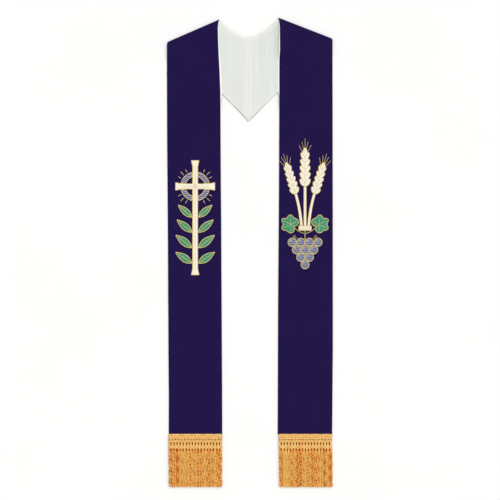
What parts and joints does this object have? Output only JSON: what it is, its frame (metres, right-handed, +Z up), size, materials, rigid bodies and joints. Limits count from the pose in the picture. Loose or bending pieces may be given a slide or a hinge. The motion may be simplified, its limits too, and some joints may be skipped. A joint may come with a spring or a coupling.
{
  "type": "clerical stole",
  "caption": "Violet clerical stole laid flat: two long fronts folded over a white-lined back, raised applique motifs and gold fringed hems.",
  "frame": {"origin": "on the surface that the stole lies on, at the middle of its outline", "axes": "+X across the stole towards the front with the wheat and grapes, +Y from the fringed hems to the shoulders, +Z up from the surface"},
  "size_m": [0.3982, 1.1249, 0.0046],
  "materials": {
    "violet_cloth": "matt",
    "white_lining": "soft sheen",
    "gold_fringe": "satin rayon",
    "ivory_brocade": "satin with metallic thread",
    "blue_brocade": "brocade",
    "green_satin": "satin"
  },
  "bodies": {
    "root": {"stole_left": "violet_cloth", "lining_left": "white_lining", "fringe_left": "gold_fringe", "stole_right": "violet_cloth", "lining_right": "white_lining", "lining_roll_left": "white_lining", "lining_roll_right": "white_lining", "fringe_right": "gold_fringe", "cross": "ivory_brocade", "ring_quarter_1": "blue_brocade", "ring_quarter_2": "blue_brocade", "ring_quarter_3": "blue_brocade", "ring_quarter_4": "blue_brocade", "laurel_leaf_1": "green_satin", "laurel_leaf_2": "green_satin", "laurel_leaf_3": "green_satin", "laurel_leaf_4": "green_satin", "laurel_leaf_5": "green_satin", "laurel_leaf_6": "green_satin", "laurel_leaf_7": "green_satin", "laurel_leaf_8": "green_satin", "wheat_ear_1": "ivory_brocade", "wheat_stalk_1": "ivory_brocade", "wheat_ear_2": "ivory_brocade", "wheat_stalk_2": "ivory_brocade", "wheat_ear_3": "ivory_brocade", "wheat_stalk_3": "ivory_brocade", "stalk_tie": "ivory_brocade", "vine_leaf_1": "green_satin", "vine_leaf_2": "green_satin", "grape_01": "blue_brocade", "grape_02": "blue_brocade", "grape_03": "blue_brocade", "grape_04": "blue_brocade", "grape_05": "blue_brocade", "grape_06": "blue_brocade", "grape_07": "blue_brocade", "grape_08": "blue_brocade", "grape_09": "blue_brocade", "grape_10": "blue_brocade"}
  },
  "joints": []
}
